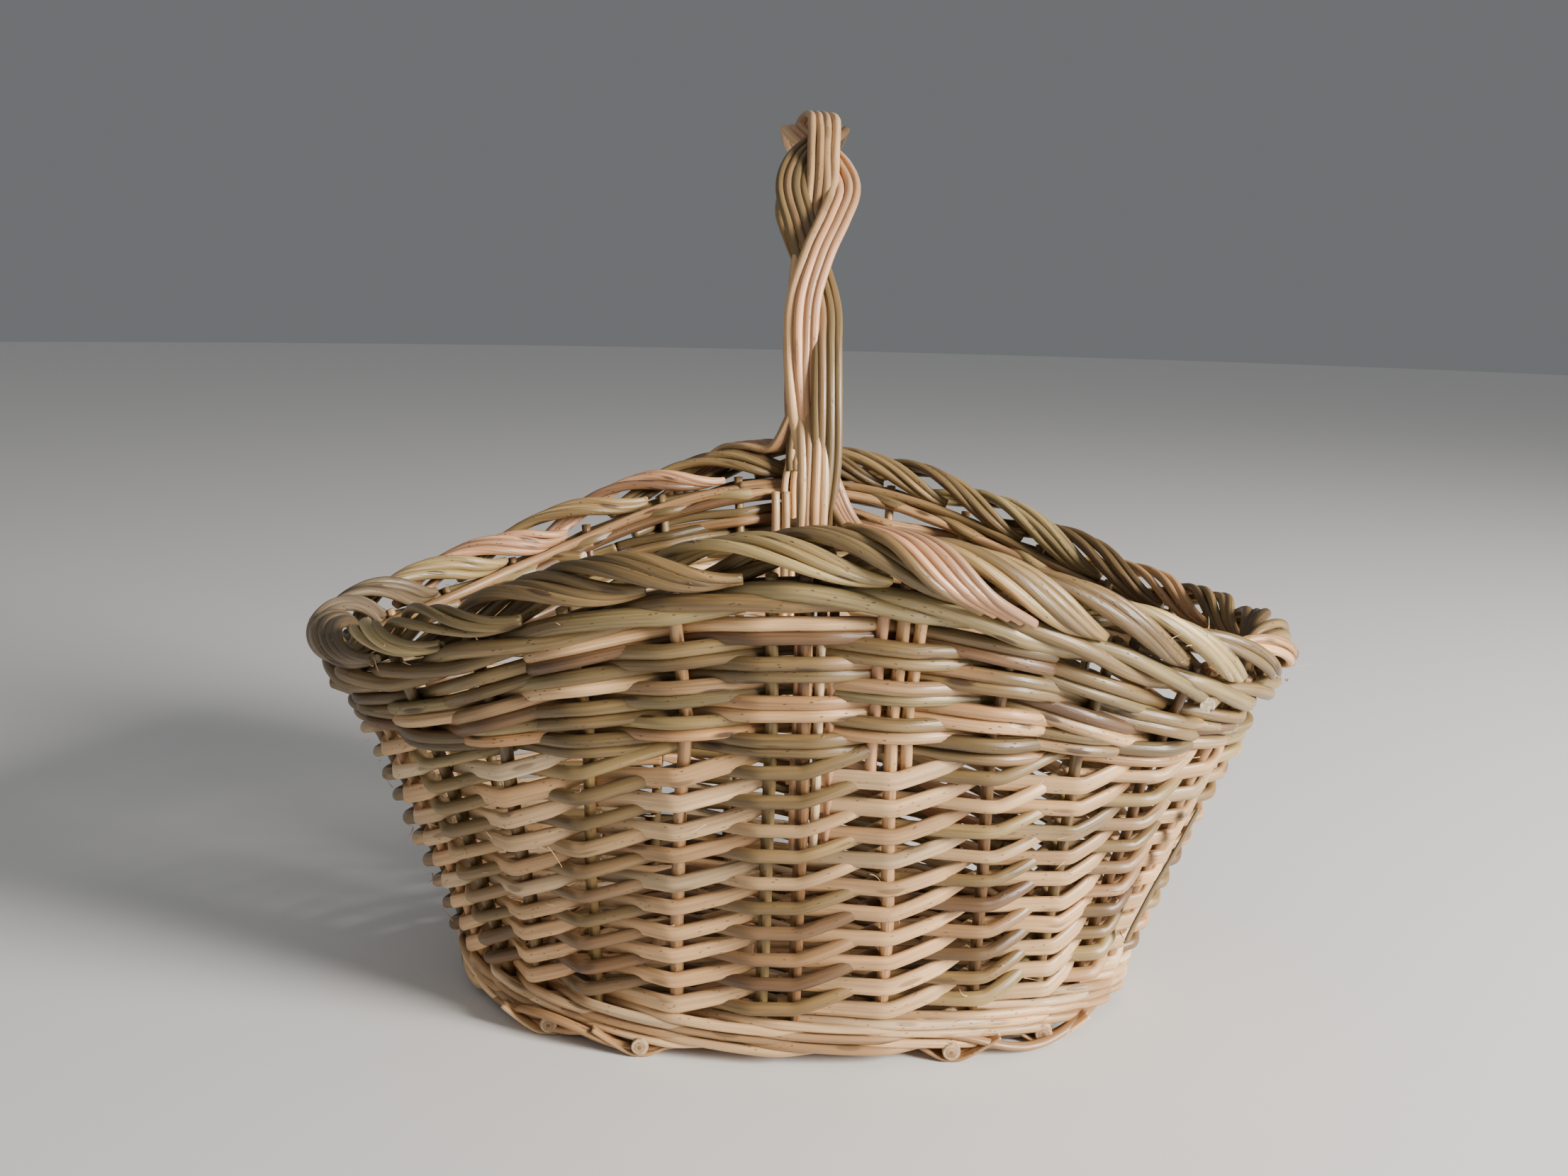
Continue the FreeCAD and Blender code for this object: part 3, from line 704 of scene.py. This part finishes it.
def make_wales():
    for row in range(UPSETT_ROWS):
        wale(
            "upsett_row_%d" % (row + 1),
            "upsett_willow",
            light_willow,
            lambda place, row=row: UPSETT_FIRST_Z + row * UPSETT_PITCH,
            UPSETT_ROD_RADIUS,
            (CREAM, PALE, BUFF),
            (4, 3, 3),
        )
    wale(
        "top_wale_row",
        "slew_willow",
        olive_willow,
        lambda place: rim_at(place) - TOP_WALE_DROP,
        TOP_WALE_ROD_RADIUS,
        (OLIVE, GREEN, BROWN),
        (6, 2, 1),
    )


# ---------------------------------------------------------------- border


def border_place(place, roll, reach):
    """Points round the border's middle line. Roll is 90 degrees on top and 0 on the outside."""
    middle = wall(place, rim_at(place))
    turn = np.radians(roll)
    aside = outward(place) * np.cos(turn)[:, None] + UP * np.sin(turn)[:, None]
    return middle + aside * np.asarray(reach)[:, None], aside


def unit_colour(stake):
    """Colours of a border unit: olive, weathered grey at the left end, pale ones here and there."""
    base = PALE_UNITS.get(stake)
    if base is None:
        base = pick((OLIVE, OLIVE, GREEN, BUFF), (4, 3, 1, 0.4))
    weathered = max(0.0, 1.0 - abs(stake - 21) / 2.2)
    return np.array(mix(tuple(base), GREY, weathered))


def add_border_unit(rods, stake):
    """A ribbon of rods that rolls from the inside over the top to the outside."""
    amount = int(rng.choice((3, 3, 4)))
    colour_of_unit = unit_colour(stake) * (1.16 if stake % 2 else 0.86)
    part = np.linspace(0, 1, UNIT_SAMPLES)
    swell = np.sin(math.pi * (0.08 + 0.87 * part)) ** 1.05
    lobe = part + 0.03 * np.sin(2 * math.pi * part)
    roll = FIRST_ROLL + (LAST_ROLL - FIRST_ROLL) * lobe
    place = stake + UNIT_START + UNIT_SPAN * part + rng.normal(0, 0.06)
    centre, aside = border_place(place, roll, 2.6 + 4.8 * swell + rng.normal(0, 0.3))
    ahead = unit(np.gradient(centre, axis=0))
    beside = unit(np.cross(aside, ahead))
    twist = rng.uniform(-0.5, 0.5)
    half_width = 0.5 + (1.5 + 1.15 * (amount - 1)) * swell
    half_height = 0.9 + 2.1 * swell
    # Painted light: the rods are drawn up to 18 percent lighter where they lie on top of the border, as if
    # lit from above.
    painted_top_light = np.clip(1 - np.abs(roll - 80) / 70, 0, 1)[:, None] * 0.18
    for number in range(amount):
        fan = (number / (amount - 1.0) - 0.5) * 2.0
        angle = fan * math.radians(62.0) + twist * (part - 0.5) * 2.0
        offset = beside * (half_width * np.sin(angle))[:, None]
        proud = rng.normal(0.0, 0.65) * swell
        offset = offset + aside * (half_height * np.cos(angle) - 0.4 + proud)[:, None]
        offset = offset + beside * (rng.normal(0.0, 0.5) * swell)[:, None]
        radius = rng.uniform(1.85, 2.6) * (0.6 + 0.4 * swell) * (1 + wander(UNIT_SAMPLES, 0.03, 14))
        path = centre + offset + wander_aside(UNIT_SAMPLES, 0.25, 14)
        tone = colour_of_unit * rng.normal(1.0, 0.16)
        # The painted top light brightens the tone here, with a slow random change along the rod.
        tone = tone * (1 + painted_top_light) * (1 + wander(UNIT_SAMPLES, 0.08, 10))[:, None]
        rods.add(path, aside, radius, radius, np.clip(tone, 0.02, 0.95), sides=10)


def fray(rods, stakes, amount):
    """Torn fibres that stand off the border."""
    for _ in range(amount):
        place = np.array([rng.choice(stakes) + rng.uniform(-0.5, 0.5)])
        root, aside = border_place(place, np.array([rng.uniform(-50, 120)]), np.array([9.0]))
        along = np.cross(UP, outward(place)[0]) * rng.choice((-1, 1))
        heading = unit(along + aside[0] * rng.uniform(0.0, 0.6) + rng.normal(0, 0.3, 3))
        length = rng.uniform(3, 7)
        radius = rng.uniform(0.25, 0.45)
        splinter(rods, root[0], heading, length, radius, mix(BUFF, PALE, rng.uniform()))


def make_border():
    for name, stakes in stake_groups().items():
        rods = Rods()
        for stake in stakes:
            add_border_unit(rods, stake)
        fray(rods, stakes, {"left_end": 26, "right_end": 30}.get(name, 6))
        for place, out, drop in BORDER_BUTTS.get(name, ()):
            at = np.array([place])
            middle = wall(at, rim_at(at) - drop, out)[0]
            side = outward(at)[0] * np.sign(out)
            heading = unit(side - np.cross(UP, outward(at)[0]) * 0.9)
            butt = middle - np.outer(np.linspace(16, 0, 12), unit(heading - side * 0.45))
            rods.add(butt, outward(at)[0], 3.0, 2.8, np.array(OLIVE), sides=14)
            cut_end(rods, middle, heading, 2.9)
        rods.make("border_" + name + "_willow", "border_" + name, "border_willow", border_willow)


# ---------------------------------------------------------------- handle


def arch(turn):
    """The handle's middle line: 0 at the front of the rim, pi at the back."""
    half_width = RIM_HALF_WIDTH - HANDLE_INSET
    rise = HANDLE_TOP_Z - RIM_Z_AT_HANDLE
    return np.stack(
        [np.zeros_like(turn), -half_width * np.cos(turn), RIM_Z_AT_HANDLE + rise * np.sin(turn)], -1
    )


def arch_axes(turn):
    ahead = unit(arch(turn + 0.01) - arch(turn - 0.01))
    across = np.broadcast_to([1.0, 0.0, 0.0], ahead.shape)
    return ahead, across, np.cross(across, ahead)


def strand_line(halves, samples):
    """Turn, sideways swing and depth along one strand, smooth from foot to foot."""
    near, far = halves
    points = [(0.0, near[0][1], near[0][2])] + list(near)
    points += [(180.0 - turn, -aside, depth) for turn, aside, depth in reversed(far)]
    points.append((180.0, -far[0][1], far[0][2]))
    line = smooth(points, samples)
    return np.radians(line[:, 0]), line[:, 1], line[:, 2]


def make_plait():
    palettes = (
        ((PINK, CREAM, BUFF), (4, 3, 2)),
        ((OLIVE, BROWN, BUFF, CREAM), (6, 2, 2, 0.6)),
        ((CREAM, PALE, BUFF), (4, 1, 2)),
    )
    for strand, halves in enumerate(STRAND_HALVES):
        rods = Rods()
        turn, aside, depth = strand_line(halves, 12)
        count = len(turn)
        _, across, face = arch_axes(turn)
        centre = arch(turn) + across * aside[:, None] + face * depth[:, None]
        line = unit(np.gradient(centre, axis=0))
        beside = unit(np.cross(face, line))
        for number in range(STRAND_RODS):
            fan = number - (STRAND_RODS - 1) / 2.0
            gap = 2.35 + 0.45 * np.sin(turn) ** 2 + wander(count, 0.12, 24)
            crown = -0.3 * fan**2
            path = centre + beside * (fan * gap)[:, None] + face * crown
            path = path + wander_aside(count, 0.3, 18)
            radius = rng.uniform(1.5, 1.85) * (1 + wander(count, 0.03, 25))
            first = pick(*palettes[strand])
            last = pick(*palettes[strand])
            blend = np.clip(np.linspace(0, 1, count) + wander(count, 0.2, 60), 0, 1)[:, None]
            colour = (first * (1 - blend) + last * blend) * (1 + wander(count, 0.06, 20))[:, None]
            rods.add(path, face, radius, radius * 0.9, colour)
        node = "handle_strand_%d" % (strand + 1)
        rods.make(node + "_willow", node, "handle_willow", handle_willow)


def add_leg_rod(rods, side, stake, x):
    """A rod from the plait's foot straight down inside the wall."""
    turn = 0.07 if side < 0 else math.pi - 0.07
    top = arch(np.array([turn]))[0] + [x * 0.6 * -side, -side * 3.5, 0]
    heights = (200.0, 186.0, 172.0, 150.0, 120.0, 94.0 + rng.uniform(-2, 6))
    insets = (HANDLE_INSET, 5.0, LEG_INSET, LEG_INSET, LEG_INSET, LEG_INSET)
    down = [
        wall(float(stake), z, -inset) * (0, 1, 1) + (-side * (x + LEG_ASIDE), 0, 0)
        for z, inset in zip(heights, insets)
    ]
    path = smooth([top] + down, 16)
    path = path + wander_aside(len(path), 0.25, 20)
    radius = LIGHT_ROD_RADIUS * rng.uniform(0.92, 1.08)
    rods.add(path, outward(float(stake)), radius, radius, pick((PINK, CREAM, PALE), (3, 4, 2)))


def add_tail_rod(rods, side, stake, number):
    """A rod that leaves the plait sideways and is laid over the border."""
    beside = number - (TAIL_RODS - 1) // 2
    route = []
    for turn, aside, depth in TAIL_IN_PLAIT:
        angle = np.array([math.radians(turn if side < 0 else 180.0 - turn)])
        _, _, face = arch_axes(angle)
        route.append(arch(angle)[0] + [-side * (aside + beside * 1.3), 0, 0] + face[0] * depth)
    for step, roll, reach in TAIL_OVER_BORDER:
        place = np.array([stake + step + beside * TAIL_SHIFT])
        over, _ = border_place(place, np.array([roll]), np.array([reach]))
        route.append(over[0])
    radius = LIGHT_ROD_RADIUS * rng.uniform(0.92, 1.1)
    colour = pick((PINK, CREAM, PALE), (4, 3, 1)) if number else pick((OLIVE,))
    rods.add(smooth(route, 12), outward(stake + 1.2), radius, radius, colour)


def add_liner_rod(rods, side, place):
    """A light rod pushed down inside the wall beside the handle."""
    samples = 40
    z = np.linspace(float(rim_at(place)) - 11.0, 126.0, samples)
    inset = 0.8 if side < 0 else np.interp(z, (150.0, 185.0), (LEG_INSET, 9.0))
    path = wall(place + 0 * z, z, -inset) + wander_aside(samples, 0.3, 12)
    rods.add(path, outward(place), 2.1, 2.1, pick((CREAM, PINK), (2, 1)))


def make_handle_feet():
    """Rods that go on from the plait: legs down inside the wall and tails over the border."""
    for name, side, stake in (("front", -1, FRONT), ("back", 1, BACK)):
        rods = Rods()
        for x in LEG_ROD_X:
            add_leg_rod(rods, side, stake, x)
        node = "handle_leg_rods_" + name
        rods.make(node + "_willow", node, "handle_willow", handle_willow)

        rods = Rods()
        for number in range(TAIL_RODS):
            add_tail_rod(rods, side, stake, number)
        for away in (0.82, 1.15) if side < 0 else (0.4, 0.52):
            add_liner_rod(rods, side, stake + away)
        node = "handle_tail_" + name
        rods.make(node + "_willow", node, "handle_willow", handle_willow)


# ---------------------------------------------------------------- splinters and cut ends


def splinter(rods, root, heading, length, radius, colour):
    """A thin torn fibre that stands off the weave and bends."""
    part = np.linspace(0, 1, 9)[:, None]
    bend = rng.normal(0, 0.35, 3)
    path = root + length * (part * heading + part**2 * bend)
    taper = radius * (1.0 - 0.75 * part[:, 0])
    rods.add(path, UP, taper, taper * 0.6, np.array(colour), sides=6)


def cut_end(rods, middle, heading, radius):
    """The pale slanting face of a cut rod."""
    path = middle + np.outer(np.linspace(0, 1.2, 4), heading)
    face = np.cross(heading, UP)
    rods.add(path, face, radius, radius * 0.9, np.array(CUT_FACE), sides=14)


# ---------------------------------------------------------------- base


def cross_half(x):
    return BASE_HALF_WIDTH * math.sqrt(1.0 - (x / BASE_HALF_LENGTH) ** 2) + STICK_OVERHANG


def make_cross_sticks():
    """Round sticks across the base. The bound ones end in the open and show the cut's rings."""
    for number, x in enumerate(CROSS_STICK_X, 1):
        rods = Rods()
        bound = number - 1 in BOUND_STICKS
        half = cross_half(x) + (1.5 if bound else -6.0)
        y = np.linspace(-half, half, STICK_SAMPLES)
        sink = (STICK_Z - BOUND_END_Z) * np.clip((np.abs(y) - half + 30.0) / 30.0, 0, 1) * bound
        radius = STICK_RADIUS * (1 + wander(STICK_SAMPLES, 0.02, 10)) * 0.98
        path = np.stack([x + wander(STICK_SAMPLES, 0.25, 14), y, STICK_Z - sink], -1)
        rods.add(path, UP, radius, radius, pick((mix(PINK, PALE, 0.45),)), sides=16)
        for end, heading in ((path[0], -1.0), (path[-1], 1.0)):
            for ring, tone in STICK_END_RINGS if bound else ():
                face = end + np.outer(np.linspace(0, 0.7 - 0.12 * ring, 4), (0.0, heading, 0.0))
                rods.add(face, UP, ring, ring, np.array(tone), sides=16)
        node = "base_cross_stick_%d" % number
        rods.make(node + "_wood", node, "stick_wood", stick_wood)


def make_long_sticks():
    for number, y in enumerate(LONG_STICK_Y, 1):
        rods = Rods()
        half = BASE_HALF_LENGTH * math.sqrt(1.0 - (y / BASE_HALF_WIDTH) ** 2) - 2.0
        x = np.linspace(-half, half, 80)
        path = np.stack([x, y + wander(80, 0.2, 16), np.full(80, STICK_Z)], -1)
        rods.add(path, UP, 2.9, 1.65, pick((BUFF,)), sides=16, square=0.55)
        node = "base_long_stick_%d" % number
        rods.make(node + "_wood", node, "stick_wood", stick_wood)


def oval_point(way, half_width):
    """A point that many millimetres along an oval round: two straight sides and two half circles."""
    inset = BASE_HALF_LENGTH - BASE_HALF_WIDTH
    quarter = half_width * math.pi / 2
    if way < 2 * inset:
        return way - inset, -half_width
    if way < 2 * inset + 2 * quarter:
        angle = (way - 2 * inset) / half_width - math.pi / 2
        return inset + half_width * math.cos(angle), half_width * math.sin(angle)
    if way < 4 * inset + 2 * quarter:
        return inset - (way - 2 * inset - 2 * quarter), half_width
    angle = (way - 4 * inset - 2 * quarter) / half_width + math.pi / 2
    return -inset + half_width * math.cos(angle), half_width * math.sin(angle)


def make_mat():
    """Thin rods in oval rounds, over and under the cross sticks in turn."""
    inner, outer = Rods(), Rods()
    for number in range(MAT_ROUNDS):
        spread = number / (MAT_ROUNDS - 1.0)
        half_width = MAT_FIRST_HALF_WIDTH + spread * (BASE_HALF_WIDTH - 3.5 - MAT_FIRST_HALF_WIDTH)
        total = 4 * (BASE_HALF_LENGTH - BASE_HALF_WIDTH + half_width * math.pi / 2)
        ways = np.linspace(0, total, MAT_SAMPLES)
        x, y = np.array([oval_point(way % total, half_width) for way in ways]).T
        wave = np.cos(math.pi * (x + 98.0) / 38.5 + math.pi * number)
        z = STICK_Z + wave * 3.9 * np.where(np.abs(x) < 110, 1, 0.5)
        path = np.stack([x, y, z], -1)
        colour = pick((BUFF, OLIVE, CREAM, BROWN), (4, 2, 2, 1))
        colour = colour * (1 + wander(MAT_SAMPLES, 0.08, 24))[:, None]
        target = inner if number < MAT_INNER_ROUNDS else outer
        target.add(path, UP, 2.1, 1.6, colour, sides=10)
    inner.make("base_mat_inner_willow", "base_mat_inner", "base_willow", light_willow)
    outer.make("base_mat_outer_willow", "base_mat_outer", "base_willow", light_willow)


def make_skeins():
    """Flat skeins looped under the bound sticks' ends."""
    for name, side in (("front", -1), ("back", 1)):
        rods = Rods()
        for index in BOUND_STICKS:
            x = CROSS_STICK_X[index]
            for back, wide in ((0.0, 2.2), (3.0, 2.0)):
                y = side * (cross_half(x) - 1.2 - back)
                inwards = side * (4.5 if abs(x) > 90 else 2.5)
                half = ((19.0, 1.0, 9.0), (11.0, 0.4, 4.6), (4.2, 0.0, 1.5))
                points = [(x - away, y - inwards * part, z) for away, part, z in half]
                points.append((x, y, 0.95))
                points += [(x + away, y - inwards * part, z) for away, part, z in reversed(half)]
                path = smooth(points, 8)
                normal = np.stack([path[:, 0] - x, 0 * path[:, 0], path[:, 2] - 20.0], -1)
                rods.add(path, unit(normal), wide, 0.75, pick((BUFF, CREAM), (2, 1)), square=0.5)
        node = "base_skeins_" + name
        rods.make(node + "_willow", node, "split_skein", light_willow)


def make_loose_skein():
    """A skein that hangs slantwise on the outside near the right end."""
    rods = Rods()
    z = np.linspace(100.0, 40.0, 50)
    place = np.interp(z, (40.0, 72.0, 100.0), (4.4, 4.7, 4.9))
    path = wall(place, z, STAKE_RADIUS + 7.2 + wander(50, 0.4, 14))
    rods.add(path, outward(place), 1.8, 0.5, pick((OLIVE,)), start=0.0, sides=10, square=0.6)
    rods.make("loose_skein_willow", "loose_skein", "split_skein", olive_willow)


make_stakes()
make_siding()
make_slewing()
make_wales()
make_border()
make_plait()
make_handle_feet()
make_cross_sticks()
make_long_sticks()
make_mat()
make_skeins()
make_loose_skein()

# ---------------------------------------------------------------- floor, light and camera


def make_floor():
    mesh = bpy.data.meshes.new("floor")
    reach, steps = 7.0, 64
    turns = [2 * math.pi * i / steps for i in range(steps)]
    ring = [(reach * math.cos(turn), reach * math.sin(turn), 0.0) for turn in turns]
    mesh.from_pydata(ring, [], [list(range(steps))])
    floor = bpy.data.objects.new("floor", mesh)
    bpy.context.scene.collection.objects.link(floor)
    material = bpy.data.materials.new("pale_floor")
    material.use_nodes = True
    surface = material.node_tree.nodes["Principled BSDF"]
    surface.inputs["Base Color"].default_value = (0.74, 0.73, 0.71, 1)
    surface.inputs["Roughness"].default_value = 0.75
    mesh.materials.append(material)


def area_light(name, place, target, size, power, colour):
    data = bpy.data.lights.new(name, "AREA")
    data.shape = "RECTANGLE"
    data.size, data.size_y = size
    data.energy = power
    data.color = colour
    light = bpy.data.objects.new(name, data)
    light.location = place
    light.rotation_euler = (Vector(target) - Vector(place)).to_track_quat("-Z", "Y").to_euler()
    bpy.context.scene.collection.objects.link(light)


def make_lights():
    middle = (0.0, 0.0, 0.13)
    area_light("window", (1.5, -0.8, 0.75), middle, (0.5, 0.7), 94.0, (1.0, 0.96, 0.91))
    area_light("fill", (-1.4, -1.0, 0.7), middle, (1.2, 1.0), 1.6, (0.93, 0.96, 1.0))
    data = bpy.data.lights.new("sky", "SUN")
    data.energy, data.angle = 0.35, math.radians(60.0)
    sky = bpy.data.objects.new("sky", data)
    sky.rotation_euler = Vector((0.15, 0.3, -1.0)).to_track_quat("-Z", "Y").to_euler()
    bpy.context.scene.collection.objects.link(sky)
    world = bpy.data.worlds.new("studio")
    world.use_nodes = True
    world.node_tree.nodes["Background"].inputs[0].default_value = (0.80, 0.83, 0.86, 1)
    world.node_tree.nodes["Background"].inputs[1].default_value = 0.2
    bpy.context.scene.world = world


CAMERA_PLACE = Vector((-12.14, -538.79, 287.65)) * MM
CAMERA_AHEAD = Vector((0.00745, 0.97707, -0.21277))
CAMERA_ROLL = math.radians(1.23)
LENS, SENSOR = 30.70, 36.0


def make_camera():
    data = bpy.data.cameras.new("camera")
    data.lens, data.sensor_width, data.sensor_fit = LENS, SENSOR, "HORIZONTAL"
    data.clip_start, data.clip_end = 0.02, 50.0
    camera = bpy.data.objects.new("camera", data)
    bpy.context.scene.collection.objects.link(camera)
    ahead = CAMERA_AHEAD.normalized()
    right = ahead.cross(Vector((0, 0, 1))).normalized()
    up = right.cross(ahead)
    turned_right = right * math.cos(CAMERA_ROLL) + up * math.sin(CAMERA_ROLL)
    turned_up = up * math.cos(CAMERA_ROLL) - right * math.sin(CAMERA_ROLL)
    axes = Matrix((turned_right, turned_up, -ahead)).transposed()
    camera.matrix_world = Matrix.Translation(CAMERA_PLACE) @ axes.to_4x4()
    bpy.context.scene.camera = camera


make_floor()
make_lights()
make_camera()
